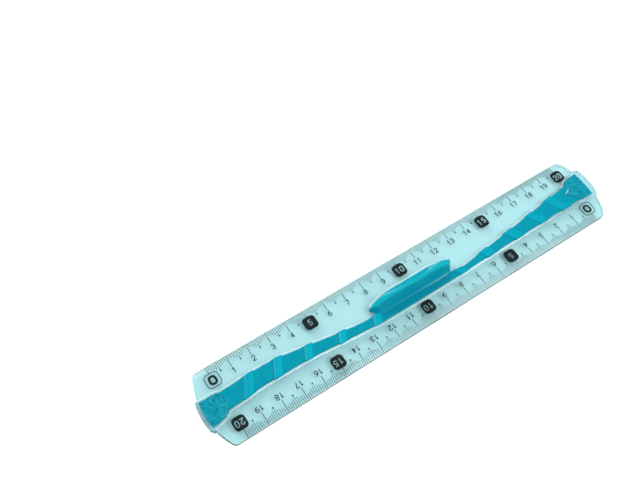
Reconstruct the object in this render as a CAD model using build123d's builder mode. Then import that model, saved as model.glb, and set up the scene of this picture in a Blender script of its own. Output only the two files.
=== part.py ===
from build123d import *
import os

# Straight ruler, 20 cm: a clear flexible blade with a soft moulding laid along it. The soft moulding is a
# wavy band with slanted ribs, a rough pad at each end and a scooped grip fin in the middle. The scale is
# printed on top along both long edges, and each edge reads from left to right when it is the far one.
#
# Frame: millimetres, +X along the scale, +Z up, origin on the underside below the middle of the blade.
# A rise is a height above the blade's top face. A reach is a distance past the scale's end. High and low
# are distances above and below the centreline at the right end. The left end is the right one turned.

os.makedirs("parts", exist_ok=True)

# Scale
centimetre = 10.0
millimetre = 1.0
centimetres = 20
scale_half = centimetre * centimetres / 2

# Clear blade
blade_width = 36.4
blade_thickness = 2.8
edge_thickness = 2.0
bevel_width = 3.2
end_reach = 10.2            # on the centreline
corner_reach = 5.4          # at the long edges
corner_radius = 1.4

# Bed: a low ridge of the blade that carries the soft moulding, and stands out past each end as a lug
bed_rise = 0.45
bed_margin = 0.75           # clear plastic left beside the soft moulding
bed_round = 0.3
lug_margin = 0.6            # clear plastic left beside the end pads
lug_reach = 12.2            # on the lug's middle
lug_corner_reach = 10.5
lug_radius = 0.9

# Soft band
channel_depth = 1.1
band_width = 9.0            # near the ends; the outline's heights are shares of it
band_rise = 0.9
band_round = 0.25
rib_rise = 1.3
rib_overhang = 0.4          # how far a rib stands out past the band's sides
rib_round = 0.2
rib_slant = 0.53            # a rib's run along the band for each step across it
groove_width = 0.3          # fine grooves along the first rib
groove_depth = 0.2
groove_pitch = 0.9
groove_count = 3

# End pads
pad_rise = 1.2
pad_round = 0.35
pad_reach = 9.9             # on the pad's middle
pad_corner_reach = 9.4
pad_flare_high = 3.2        # how far the pad flares past the band's sides
pad_flare_low = 0.8
neck_reach = 2.6            # where the pad starts to narrow
neck_flare_high = 2.1
neck_flare_low = 0.7
shoulder_reach = 1.2        # where the pad meets the band's sides
shoulder_flare = 0.5
point_inset = 3.2           # how far the pad's point runs in from the scale's end
point_high = 0.7

# Band outline: place in shares of half the scale, height in shares of the band's width. The upper side has
# a left run and a right run, and between them it is tucked in under the grip's foot.
strip_low_share = -0.70     # the lower side in front of the grip
upper_left_shares = (
    (-1.06, 0.55), (-0.98, 0.53), (-0.90, 0.56), (-0.75, 0.55), (-0.60, 0.315), (-0.45, 0.045),
    (-0.30, -0.18),
)
upper_right_shares = (
    (0.27, -0.37), (0.36, -0.275), (0.55, -0.05), (0.70, 0.14), (0.83, 0.325), (0.97, 0.51), (1.06, 0.60),
)
lower_shares = (
    (-1.06, -0.60), (-1.0, -0.53), (-0.93, -0.42), (-0.84, -0.31), (-0.70, -0.325), (-0.58, -0.355),
    (-0.46, -0.475), (-0.30, -0.625), (-0.20, strip_low_share), (0.20, strip_low_share), (0.35, -0.65),
    (0.70, -0.59), (0.98, -0.57), (1.06, -0.60),
)

# Ribs: where the outer side crosses the centreline, and the width, in shares of half the scale
rib_shares = (
    (-0.909, 0.043), (-0.760, 0.040), (-0.601, 0.037), (-0.422, 0.035), (-0.236, 0.042),
    (0.194, 0.050), (0.365, 0.055), (0.542, 0.057), (0.707, 0.048), (0.853, 0.050),
)

# Grip: a boat-shaped foot with a fin on its near side, scooped out on its far side. Depths are measured
# across the blade from the foot's near side, where the grip stands behind a strip of the band.
grip_length = 47.0
grip_centre = -0.9          # from the middle of the scale
strip_width = 4.1           # the band's strip in front of the grip
strip_tuck = 0.45           # how far the strip's outline runs in under the foot
foot_depth = 7.3
left_tip_depth = 3.1
right_tip_depth = 3.9
foot_rise = 1.2
fin_rise = 10.3
fin_tip_rise = 1.9
fin_lean = 1.5              # how far the fin's near face leans in over its root, in the middle
fin_end_lean = 15.0         # the same one grip length out, where the face sweeps back
fin_wall = 1.2              # the fin's thickness at the scoop
scoop_radius = 17.5

# Grip outline: the near side's shoulders and the tucked strip's points in shares of half the grip, the far
# side's points in shares of half the grip and of the foot's depth over the left tip, and the fin's arch in
# shares of half the grip and of the fin's rise
shoulder_share = 0.85
tuck_shares = (-0.85, 0.0, 0.75)
far_side_shares = ((0.88, 0.63), (0.6, 0.98), (0.0, 1.0), (-0.6, 0.96), (-0.86, 0.66))
arch_shares = ((-0.84, 0.49), (-0.42, 0.865), (0.0, 1.0), (0.44, 0.84), (0.86, 0.45))

# Print: sizes across the blade are shares of the room between the bed and the long edge, and so are the
# numerals' and blocks' sizes along it. Insets are from the long edge to the middle of the row.
ink_thickness = 0.05
tick_width = 0.22
long_tick_width = 0.3
line_gap = 0.3              # from the blade's long edge to the lines' outer ends
tick_length_shares = (0.206, 0.233, 0.269, 0.314, 0.377, 0.314, 0.269, 0.233, 0.206)
long_tick_share = 0.511
dot_diameter = 0.8
dot_inset_share = 0.457
numeral_inset_share = 0.708
numeral_height_share = 0.251
numeral_stroke_share = 0.036
digit_width_share = 0.157
digit_pitch_share = 0.193
block_inset_share = 0.637
block_size_share = 0.565
block_radius_share = 0.161
block_numeral_height_share = 0.287
block_numeral_stroke_share = 0.049
block_digit_width_share = 0.179
block_digit_pitch_share = 0.224
block_every = 5             # centimetres from one block to the next
frame_size_share = 0.619
frame_line_share = 0.031
frame_radius_share = 0.179
zero_width_share = 0.350
zero_height_share = 0.404
zero_stroke_share = 0.094
zero_radius_share = 0.152

# Digits: each digit's pen strokes, straight through two points or round through three, in shares of half
# the digit's width and half its height, both measured between the strokes' centre lines
digit_shares = {
    "0": (
        ((-1, 0.44), (0, 1), (1, 0.44)),
        ((1, 0.44), (1, -0.44)),
        ((1, -0.44), (0, -1), (-1, -0.44)),
        ((-1, -0.44), (-1, 0.44)),
    ),
    "1": (((-0.55, 0.58), (0.2, 1)), ((0.2, 1), (0.2, -1))),
    "2": (((-0.95, 0.45), (0.1, 1), (0.78, 0.1)), ((0.78, 0.1), (-1, -1)), ((-1, -1), (1, -1))),
    "3": (((-0.8, 0.7), (0.85, 0.5), (-0.2, 0.06)), ((-0.2, 0.06), (0.97, -0.46), (-0.95, -0.6))),
    "4": (((0.4, -1), (0.4, 1)), ((0.4, 1), (-1, -0.4)), ((-1, -0.4), (1, -0.4))),
    "5": (((0.8, 1), (-0.65, 1)), ((-0.65, 1), (-0.85, 0.05)), ((-0.85, 0.05), (1, -0.38), (-0.95, -0.65))),
    "6": (
        ((-1, -0.42), (0, 0.15), (1, -0.42)),
        ((1, -0.42), (0, -1), (-1, -0.42)),
        ((-1, -0.42), (-0.5, 0.62), (0.8, 0.93)),
    ),
    "7": (((-1, 1), (1, 1)), ((1, 1), (-0.25, -1))),
    "8": (
        ((-0.8, 0.5), (0, 1), (0.8, 0.5)),
        ((0.8, 0.5), (0, 0.04), (-0.8, 0.5)),
        ((-1, -0.47), (0, 0.04), (1, -0.47)),
        ((1, -0.47), (0, -1), (-1, -0.47)),
    ),
    "9": (
        ((1, 0.42), (0, -0.15), (-1, 0.42)),
        ((-1, 0.42), (0, 1), (1, 0.42)),
        ((1, 0.42), (0.5, -0.62), (-0.8, -0.93)),
    ),
}

# One overrun for all cuts
overrun = 2.0

# Levels and ends
blade_top = blade_thickness
blade_half = blade_width / 2
bevel_start = blade_half - bevel_width
line_outer = blade_half - line_gap
print_room = blade_half + strip_low_share * band_width - bed_margin
dot_row = blade_half - dot_inset_share * print_room
numeral_row = blade_half - numeral_inset_share * print_room
block_row = blade_half - block_inset_share * print_room
block_size = block_size_share * print_room
frame_size = frame_size_share * print_room
channel_floor = blade_top - channel_depth
bed_top = blade_top + bed_rise
band_top = blade_top + band_rise
rib_top = blade_top + rib_rise
pad_top = blade_top + pad_rise
foot_top = blade_top + foot_rise
fin_top = blade_top + fin_rise
blade_end = scale_half + end_reach
lug_end = scale_half + lug_reach
grip_half = grip_length / 2
band_end_high = upper_right_shares[-2][1] * band_width
band_end_low = -lower_shares[-2][1] * band_width
grip_near = strip_low_share * band_width + strip_width
grip_far = grip_near + foot_depth
block_counts = range(block_every, centimetres + 1, block_every)
plain_counts = [count for count in range(1, centimetres) if count not in block_counts]


def band_outline(margin):
    """The band, with a margin along both sides."""
    upper = [(u * scale_half, v * band_width + margin) for u, v in upper_left_shares]
    upper += [(grip_centre + u * grip_half, grip_near + strip_tuck + margin) for u in tuck_shares]
    upper += [(u * scale_half, v * band_width + margin) for u, v in upper_right_shares]
    lower = [(u * scale_half, v * band_width - margin) for u, v in lower_shares]
    with BuildSketch() as outline:
        with BuildLine():
            Spline(*upper)
            Line(upper[-1], lower[-1])
            Spline(*lower)
            Line(lower[0], upper[0])
        make_face()
    return outline.sketch


def slanted_strip(start, width, slant):
    """A strip across the band and past both its sides, at the slant of the ribs."""
    run = slant * band_width
    end = start + width
    with BuildSketch() as outline:
        Polygon(
            (start - run, -band_width),
            (end - run, -band_width),
            (end + run, band_width),
            (start + run, band_width),
            align=None,
        )
    return outline.sketch


def end_outline(turn, reach, corner_at, margin):
    """An end pad, or with a margin the lug that carries it, drawn for the right end and then turned."""
    corner = scale_half + corner_at
    neck = scale_half + neck_reach
    shoulder = scale_half + shoulder_reach
    high = band_end_high + margin
    low = band_end_low + margin
    middle = (high + pad_flare_high - low - pad_flare_low) / 2
    with BuildSketch(Plane.XY.rotated((0, 0, turn))) as outline:
        with BuildLine():
            Polyline(
                (corner, high + pad_flare_high),
                (neck, high + neck_flare_high),
                (shoulder, high + shoulder_flare),
                (scale_half - point_inset, point_high),
                (shoulder, -low),
                (neck, -low - neck_flare_low),
                (corner, -low - pad_flare_low),
            )
            ThreePointArc(
                (corner, -low - pad_flare_low), (scale_half + reach, middle), (corner, high + pad_flare_high)
            )
        make_face()
    return outline.sketch


def pad_outline(turn):
    """An end pad."""
    return end_outline(turn, pad_reach, pad_corner_reach, 0)


def lug_outline(turn):
    """The bed round an end pad, as far as the lug's end."""
    return end_outline(turn, lug_reach, lug_corner_reach, lug_margin)


def foot_outline(margin):
    """The boat-shaped foot of the grip, with a margin all round."""
    near = grip_near - margin
    tip = grip_near + left_tip_depth
    depth = grip_far + margin - tip
    left_tip = (grip_centre - grip_half - margin, tip)
    right_tip = (grip_centre + grip_half + margin, grip_near + right_tip_depth)
    near_left = (grip_centre - shoulder_share * grip_half, near)
    near_right = (grip_centre + shoulder_share * grip_half, near)
    far_side = [(grip_centre + u * grip_half, tip + v * depth) for u, v in far_side_shares]
    with BuildSketch() as outline:
        with BuildLine():
            Polyline(left_tip, near_left, near_right, right_tip)
            Spline(right_tip, *far_side, left_tip)
        make_face()
    return outline.sketch


def printed_line(width, inner):
    """One printed line from its inner end to the row's outer side, on the blade's top and bevel."""
    with BuildPart() as line:
        with BuildSketch(Plane.YZ):
            with BuildLine():
                Polyline(
                    (0, blade_top),
                    (bevel_start, blade_top),
                    (blade_half, edge_thickness),
                    (blade_half, edge_thickness + ink_thickness),
                    (bevel_start, blade_top + ink_thickness),
                    (0, blade_top + ink_thickness),
                    close=True,
                )
            make_face()
            with Locations(((inner + line_outer) / 2, blade_top)):
                Rectangle(line_outer - inner, overrun, mode=Mode.INTERSECT)
        extrude(amount=width / 2, both=True)
    return line.part


def place_of(count):
    """Where a centimetre stands along the blade."""
    return count * centimetre - scale_half


def digit_outline(digit, width, height, stroke):
    """One digit, drawn with a round pen."""
    half_across = (width - stroke) / 2
    half_up = (height - stroke) / 2
    with BuildSketch() as outline:
        for shares in digit_shares[digit]:
            points = [(u * half_across, v * half_up) for u, v in shares]
            with BuildLine(mode=Mode.PRIVATE) as path:
                if len(points) == 2:
                    Line(*points)
                else:
                    ThreePointArc(*points)
            trace(path.line, stroke)
            with Locations(points[0], points[-1]):
                Circle(stroke / 2)
    return outline.sketch


def number_outline(number, width_share, height_share, stroke_share, pitch_share):
    """A number of one or two digits, centred on its place, in shares of the print's room."""
    digits = str(number)
    pitch = pitch_share * print_room
    width = width_share * print_room
    height = height_share * print_room
    stroke = stroke_share * print_room
    with BuildSketch() as outline:
        for place, digit in enumerate(digits):
            with Locations(((place - (len(digits) - 1) / 2) * pitch, 0)):
                add(digit_outline(digit, width, height, stroke))
    return outline.sketch


def ring_outline(width_share, height_share, radius_share, line_share):
    """A rounded outline of one line width, in shares of the print's room."""
    width = width_share * print_room
    height = height_share * print_room
    radius = radius_share * print_room
    line = line_share * print_room
    with BuildSketch() as outline:
        RectangleRounded(width, height, radius)
        RectangleRounded(width - 2 * line, height - 2 * line, radius - line, mode=Mode.SUBTRACT)
    return outline.sketch


# Clear blade
with BuildPart() as clear_blade:
    with BuildSketch(Plane.YZ.offset(-lug_end)):
        with BuildLine():
            Polyline(
                (-blade_half, 0),
                (blade_half, 0),
                (blade_half, edge_thickness),
                (bevel_start, blade_top),
                (-bevel_start, blade_top),
                (-blade_half, edge_thickness),
                close=True,
            )
        make_face()
    extrude(amount=2 * lug_end)
    with BuildSketch() as plan:
        corner = scale_half + corner_reach
        with BuildLine():
            ThreePointArc((corner, -blade_half), (blade_end, 0), (corner, blade_half))
            Line((corner, blade_half), (-corner, blade_half))
            ThreePointArc((-corner, blade_half), (-blade_end, 0), (-corner, -blade_half))
            Line((-corner, -blade_half), (corner, -blade_half))
        make_face()
        fillet(plan.vertices(), corner_radius)
    extrude(amount=blade_top, mode=Mode.INTERSECT)
    with BuildSketch():
        add(band_outline(bed_margin))
        add(lug_outline(0))
        add(lug_outline(180))
        add(foot_outline(bed_margin))
    extrude(amount=bed_top)
    lug_corners = clear_blade.edges().filter_by(Axis.Z).filter_by(lambda e: abs(e.center().X) > blade_end)
    fillet(lug_corners, lug_radius)
    bed_rim = clear_blade.edges().filter_by_position(Axis.Z, bed_top, bed_top)
    fillet(bed_rim, bed_round)
    with BuildSketch(Plane.XY.offset(channel_floor)):
        add(band_outline(0))
        add(pad_outline(0))
        add(pad_outline(180))
        add(foot_outline(0))
    extrude(amount=channel_depth + bed_rise + overrun, mode=Mode.SUBTRACT)

# Soft band with its ribs, cut to meet the pads and the grip's foot
with BuildPart() as soft_band:
    with BuildSketch(Plane.XY.offset(channel_floor)):
        add(band_outline(0))
    extrude(amount=band_top - channel_floor)
    band_rim = soft_band.edges().filter_by_position(Axis.Z, band_top, band_top)
    fillet(band_rim.filter_by(lambda e: e.length > scale_half), band_round)
    with BuildSketch(Plane.XY.offset(bed_top)):
        for place, width in rib_shares:
            slant = rib_slant if place < 0 else -rib_slant
            add(slanted_strip(place * scale_half, width * scale_half, slant))
        add(band_outline(rib_overhang), mode=Mode.INTERSECT)
    extrude(amount=rib_top - bed_top)
    rib_rims = soft_band.edges().filter_by_position(Axis.Z, rib_top, rib_top).filter_by(GeomType.LINE)
    fillet(rib_rims, rib_round)
    with BuildSketch(Plane.XY.offset(rib_top)):
        for count in range(1, groove_count + 1):
            start = rib_shares[0][0] * scale_half + count * groove_pitch
            add(slanted_strip(start, groove_width, rib_slant))
    extrude(amount=-groove_depth, mode=Mode.SUBTRACT)
    with BuildSketch(Plane.XY.offset(channel_floor)):
        add(pad_outline(0))
        add(pad_outline(180))
        add(foot_outline(0))
    extrude(amount=rib_top - channel_floor + overrun, mode=Mode.SUBTRACT)

# End pads
with BuildPart() as end_pad_right:
    with BuildSketch(Plane.XY.offset(channel_floor)):
        add(pad_outline(0))
    extrude(amount=pad_top - channel_floor)
    fillet(end_pad_right.edges().group_by(Axis.Z)[-1], pad_round)

with BuildPart() as end_pad_left:
    with BuildSketch(Plane.XY.offset(channel_floor)):
        add(pad_outline(180))
    extrude(amount=pad_top - channel_floor)
    fillet(end_pad_left.edges().group_by(Axis.Z)[-1], pad_round)

# Grip fin: the foot's outline, cut to the leaning near face, the far slope, the arch and the scoop
with BuildPart() as grip_fin:
    with BuildSketch(Plane.XY.offset(channel_floor)):
        add(foot_outline(0))
    extrude(amount=fin_top - channel_floor)
    rim_middle = grip_near + fin_lean
    rim_end = grip_near + fin_end_lean
    for level in (channel_floor, band_top):
        with BuildSketch(Plane.XY.offset(level)):
            with BuildLine():
                Polyline(
                    (-grip_length, grip_near),
                    (-grip_length, blade_half),
                    (grip_length, blade_half),
                    (grip_length, grip_near),
                    close=True,
                )
            make_face()
    with BuildSketch(Plane.XY.offset(fin_top)):
        with BuildLine():
            Polyline(
                (-grip_length, rim_end),
                (-grip_length, blade_half),
                (grip_length, blade_half),
                (grip_length, rim_end),
            )
            ThreePointArc((grip_length, rim_end), (grip_centre, rim_middle), (-grip_length, rim_end))
        make_face()
    loft(ruled=True, mode=Mode.INTERSECT)
    with BuildSketch(Plane.YZ):
        fin_back = rim_middle + fin_wall
        with BuildLine():
            Polyline(
                (-blade_half, 0),
                (-blade_half, fin_top),
                (fin_back, fin_top),
                (grip_far, foot_top),
                (blade_half, foot_top),
                (blade_half, 0),
                close=True,
            )
        make_face()
    extrude(amount=grip_length, both=True, mode=Mode.INTERSECT)
    with BuildSketch(Plane.XZ):
        tip_level = blade_top + fin_tip_rise
        arch = [(grip_centre + u * grip_half, blade_top + v * fin_rise) for u, v in arch_shares]
        left = grip_centre - grip_half
        right = grip_centre + grip_half
        with BuildLine():
            Spline((left, tip_level), *arch, (right, tip_level))
            Polyline((right, tip_level), (right, 0), (left, 0), (left, tip_level))
        make_face()
    extrude(amount=blade_half, both=True, mode=Mode.INTERSECT)
    with BuildSketch(Plane.XY.offset(foot_top)):
        with Locations((grip_centre, grip_near + fin_wall + scoop_radius)):
            Circle(scoop_radius)
    with BuildSketch(Plane.XY.offset(fin_top)):
        with Locations((grip_centre, fin_back + scoop_radius)):
            Circle(scoop_radius)
    loft(mode=Mode.SUBTRACT)

# Graduation lines: each a thin layer that follows the blade's top and bevel
with BuildPart() as graduation_lines:
    with Locations((-scale_half, 0)):
        add(printed_line(long_tick_width, block_row + frame_size / 2))
    with Locations(*[(place_of(count), 0) for count in block_counts]):
        add(printed_line(long_tick_width, block_row + block_size / 2))
    with Locations(*[(place_of(count), 0) for count in plain_counts]):
        add(printed_line(long_tick_width, line_outer - long_tick_share * print_room))
    for step, share in enumerate(tick_length_shares, start=1):
        with Locations((step * millimetre - centimetre / 2, 0)):
            with GridLocations(centimetre, 0, centimetres, 1):
                add(printed_line(tick_width, line_outer - share * print_room))
    add(graduation_lines.part, rotation=(0, 0, 180))

# Half-centimetre dots
with BuildPart() as graduation_dots:
    with BuildSketch(Plane.XY.offset(blade_top)):
        for side in (1, -1):
            with Locations((0, side * dot_row)):
                with GridLocations(centimetre, 0, centimetres, 1):
                    Circle(dot_diameter / 2)
    extrude(amount=ink_thickness)

# Numerals that stand alone
with BuildSketch() as numerals:
    for count in plain_counts:
        with Locations((place_of(count), numeral_row)):
            number = number_outline(
                count, digit_width_share, numeral_height_share, numeral_stroke_share, digit_pitch_share
            )
            add(number)

with BuildPart() as scale_numerals:
    with BuildSketch(Plane.XY.offset(blade_top)):
        add(numerals.sketch)
        add(numerals.sketch, rotation=180)
    extrude(amount=ink_thickness)

# Number blocks: every fifth numeral, reversed out of a block
with BuildSketch() as blocks:
    for count in block_counts:
        with Locations((place_of(count), block_row)):
            RectangleRounded(block_size, block_size, block_radius_share * print_room)
            number = number_outline(
                count,
                block_digit_width_share,
                block_numeral_height_share,
                block_numeral_stroke_share,
                block_digit_pitch_share,
            )
            add(number, mode=Mode.SUBTRACT)

with BuildPart() as number_blocks:
    with BuildSketch(Plane.XY.offset(blade_top)):
        add(blocks.sketch)
        add(blocks.sketch, rotation=180)
    extrude(amount=ink_thickness)

# Zero frames: an outlined block round a bold zero
with BuildSketch() as frame:
    with Locations((-scale_half, block_row)):
        add(ring_outline(frame_size_share, frame_size_share, frame_radius_share, frame_line_share))
        add(ring_outline(zero_width_share, zero_height_share, zero_radius_share, zero_stroke_share))

with BuildPart() as zero_frames:
    with BuildSketch(Plane.XY.offset(blade_top)):
        add(frame.sketch)
        add(frame.sketch, rotation=180)
    extrude(amount=ink_thickness)

clear_blade.part.label = "clear_blade"
soft_band.part.label = "soft_band"
end_pad_left.part.label = "end_pad_left"
end_pad_right.part.label = "end_pad_right"
grip_fin.part.label = "grip_fin"
graduation_lines.part.label = "graduation_lines"
graduation_dots.part.label = "graduation_dots"
scale_numerals.part.label = "scale_numerals"
number_blocks.part.label = "number_blocks"
zero_frames.part.label = "zero_frames"

export_step(clear_blade.part, "parts/clear_blade.step")
export_step(soft_band.part, "parts/soft_band.step")
export_step(end_pad_left.part, "parts/end_pad_left.step")
export_step(end_pad_right.part, "parts/end_pad_right.step")
export_step(grip_fin.part, "parts/grip_fin.step")
export_step(graduation_lines.part, "parts/graduation_lines.step")
export_step(graduation_dots.part, "parts/graduation_dots.step")
export_step(scale_numerals.part, "parts/scale_numerals.step")
export_step(number_blocks.part, "parts/number_blocks.step")
export_step(zero_frames.part, "parts/zero_frames.step")
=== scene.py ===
"""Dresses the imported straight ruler: clear blade, teal soft moulding, grip fin and printed scale.

The scene is in metres in the row frame: +X along the scale, +Z up, origin below the blade's middle. The
mouldings are worked out in millimetres in the same frame and brought to metres at the end.
"""

import logging
import math
from collections.abc import Callable, Sequence
from dataclasses import dataclass
from enum import Enum

import bmesh
import bpy
from mathutils import Matrix, Vector, noise

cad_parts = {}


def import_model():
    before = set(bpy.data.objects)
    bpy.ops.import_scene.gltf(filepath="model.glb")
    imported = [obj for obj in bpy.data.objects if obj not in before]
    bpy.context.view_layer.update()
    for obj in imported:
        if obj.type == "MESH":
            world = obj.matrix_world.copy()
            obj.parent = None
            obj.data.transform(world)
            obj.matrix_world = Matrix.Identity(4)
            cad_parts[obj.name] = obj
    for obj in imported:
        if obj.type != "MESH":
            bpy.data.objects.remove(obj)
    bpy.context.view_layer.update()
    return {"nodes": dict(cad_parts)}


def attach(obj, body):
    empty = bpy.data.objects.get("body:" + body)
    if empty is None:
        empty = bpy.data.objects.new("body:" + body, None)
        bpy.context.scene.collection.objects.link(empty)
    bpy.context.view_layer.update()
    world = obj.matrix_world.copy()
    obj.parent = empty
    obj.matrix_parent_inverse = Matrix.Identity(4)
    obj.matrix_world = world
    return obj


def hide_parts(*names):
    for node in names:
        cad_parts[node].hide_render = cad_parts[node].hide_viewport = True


log = logging.getLogger("ruler")

MM = 0.001  # a millimetre in metres
MIN_STEP = 0.02  # two grid lines are further apart than this
MERGE_DISTANCE = 0.0005  # two points nearer than this are one
SETTLE_STEPS = 8  # how often the search for where two lines meet is repeated
PAD_SETTLE_STEPS = 24  # the same for a pad, whose four sides depend on each other
WHITE = (1, 1, 1, 1)
PRINT_NODES = ("graduation_lines", "graduation_dots", "scale_numerals", "number_blocks", "zero_frames")

Colour = tuple[float, float, float, float]
Pair = tuple[float, float]
Point = tuple[float, float, float]


class Slot(Enum):
    """Material slot names, which nothing here reads."""

    CLEAR = "clear_plastic"
    SOFT = "soft_plastic"
    ROUGH = "rough_soft_plastic"
    INK = "scale_ink"


class Mark(Enum):
    """What a moulding says of each of its points, for its material to read."""

    # where a soft moulding is painted lighter: painted light
    RAISED = "raised"
    POLISHED = "polished"
    DULL = "dull"


def linear(red: int, green: int, blue: int) -> Colour:
    """A screen colour as the linear colour that a shader takes.

    Args:
        red: Red as seen on screen, from 0 to 255.
        green: Green in the same way.
        blue: Blue in the same way.

    Returns:
        The same colour in linear light, opaque.
    """
    shares = [value / 255 for value in (red, green, blue)]
    light = [share / 12.92 if share <= 0.04045 else ((share + 0.055) / 1.055) ** 2.4 for share in shares]
    return (*light, 1)


class Nodes:
    """A node tree, with short ways to add and join its nodes."""

    def __init__(self, tree: bpy.types.NodeTree) -> None:
        """Keeps the tree to work in."""
        self.tree = tree

    def add(self, kind: str, settings: dict[str, object] | None = None, **values: object) -> bpy.types.Node:
        """Adds a node.

        Args:
            kind: The node's type, without its ShaderNode prefix.
            settings: The node's own settings, such as its operation.
            **values: Its inputs' names, with spaces as underscores, and their values.

        Returns:
            The new node.
        """
        node = self.tree.nodes.new("ShaderNode" + kind)
        for name, value in (settings or {}).items():
            setattr(node, name, value)
        for name, value in values.items():
            node.inputs[name.replace("_", " ")].default_value = value
        return node

    def join(self, start: bpy.types.Node, output: str | int, end: bpy.types.Node, entry: str | int) -> None:
        """Links one node's output to another's input, each by its name or number."""
        self.tree.links.new(start.outputs[output], end.inputs[entry])


class Shader(Nodes):
    """A material's nodes, which end in its output."""

    def __init__(self, name: str) -> None:
        """Starts a material that holds only its output.

        Args:
            name: The material's name.
        """
        self.material = bpy.data.materials.new(name)
        self.material.use_nodes = True
        super().__init__(self.material.node_tree)
        self.tree.nodes.clear()
        self.output = self.add("OutputMaterial")

    def mark(self, mark: Mark) -> bpy.types.Node:
        """Adds a reader of one of the piece's marks."""
        return self.add("Attribute", {"attribute_name": mark.value})

    def bump(self, surface: bpy.types.Node, scale: float, detail: float, depth: float) -> None:
        """Gives a surface a fine uneven relief.

        Args:
            surface: The surface's node.
            scale: How many bumps to the metre.
            detail: How many finer sizes of bump lie on them.
            depth: The relief's height in metres.
        """
        place = self.add("TexCoord")
        cloud = self.add("TexNoise", Scale=scale, Detail=detail)
        self.join(place, "Object", cloud, "Vector")
        relief = self.add("Bump", Strength=1.0, Distance=depth)
        self.join(cloud, "Fac", relief, "Height")
        self.join(relief, "Normal", surface, "Normal")

    def show(self, node: bpy.types.Node) -> bpy.types.Material:
        """Gives the material its last node, and returns the material."""
        self.join(node, 0, self.output, "Surface")
        return self.material


def mottle_group() -> bpy.types.NodeTree:
    """Builds the uneven colour and gloss of moulded soft plastic.

    Returns:
        A group that mixes two colours in clouds, paints a third, lighter colour as painted light where a
        piece is marked for it, and varies a roughness.
    """
    tree = bpy.data.node_groups.new("moulding_mottle", "ShaderNodeTree")
    grey = (0.5, 0.5, 0.5, 1)
    entries = {
        "Colour": grey, "Shade": grey, "High": grey,
        "Rise": 0.0, "Scale": 200.0, "Rough": 0.4, "Spread": 0.1,
    }
    for name, default in entries.items():
        kind = "NodeSocketColor" if default is grey else "NodeSocketFloat"
        tree.interface.new_socket(name, in_out="INPUT", socket_type=kind).default_value = default
    for name, kind in (("Colour", "NodeSocketColor"), ("Roughness", "NodeSocketFloat")):
        tree.interface.new_socket(name, in_out="OUTPUT", socket_type=kind)
    start = tree.nodes.new("NodeGroupInput")
    end = tree.nodes.new("NodeGroupOutput")
    nodes = Nodes(tree)
    place = nodes.add("TexCoord")
    cloud = nodes.add("TexNoise", Detail=3, Roughness=0.55)
    sharpen = nodes.add("MapRange", From_Min=0.35, From_Max=0.65)
    clouded = nodes.add("Mix", {"data_type": "RGBA"})
    # mixes in the painted light colour by the piece's painted light mark
    raised = nodes.add("Mix", {"data_type": "RGBA"})
    rough = nodes.add("Math", {"operation": "MULTIPLY_ADD"})
    for link in (
        (place, "Object", cloud, "Vector"), (start, "Scale", cloud, "Scale"),
        (cloud, "Fac", sharpen, "Value"), (sharpen, "Result", clouded, "Factor"),
        (start, "Shade", clouded, "A"), (start, "Colour", clouded, "B"),
        (start, "Rise", raised, "Factor"), (clouded, "Result", raised, "A"), (start, "High", raised, "B"),
        (raised, "Result", end, "Colour"), (sharpen, "Result", rough, 0), (start, "Spread", rough, 1),
        (start, "Rough", rough, 2), (rough, "Value", end, "Roughness"),
    ):
        nodes.join(*link)
    return tree


@dataclass(frozen=True)
class SoftPlastic:
    """Teal soft moulding: satin, with faint clouds and a fine grain."""

    name: str  # the material's name
    colour: Colour  # its lighter colour
    shade: Colour  # its darker colour
    high: Colour  # its lighter colour, painted light on the places marked for it
    cloud_scale: float = 260  # how many clouds to the metre
    grain_scale: float = 2600  # how many grains to the metre
    grain_depth: float = 0.00001  # the grain's height in metres
    roughness: float = 0.28  # its smoothest roughness
    spread: float = 0.1  # how much duller the clouds make it
    gloss: float = 0.12  # its specular level
    coat: float = 1.65  # how strongly its polished edges mirror the light
    coat_roughness: float = 0.2  # the polish of those edges

    def build(self, mottle: bpy.types.NodeTree) -> bpy.types.Material:
        """Makes the material.

        Args:
            mottle: The shared group of uneven colour.

        Returns:
            The finished material.
        """
        shader = Shader(self.name)
        surface = shader.add(
            "BsdfPrincipled",
            Specular_IOR_Level=self.gloss, Coat_IOR=self.coat, Coat_Roughness=self.coat_roughness,
        )
        clouds = shader.add(
            "Group", {"node_tree": mottle},
            Colour=self.colour, Shade=self.shade, High=self.high,
            Scale=self.cloud_scale, Rough=self.roughness, Spread=self.spread,
        )
        shader.join(shader.mark(Mark.POLISHED), "Fac", surface, "Coat Weight")
        # the painted light mark mixes in the lighter colour
        shader.join(shader.mark(Mark.RAISED), "Fac", clouds, "Rise")
        shader.join(clouds, "Colour", surface, "Base Color")
        shader.join(clouds, "Roughness", surface, "Roughness")
        shader.bump(surface, self.grain_scale, 2.0, self.grain_depth)
        return shader.show(surface)


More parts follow.
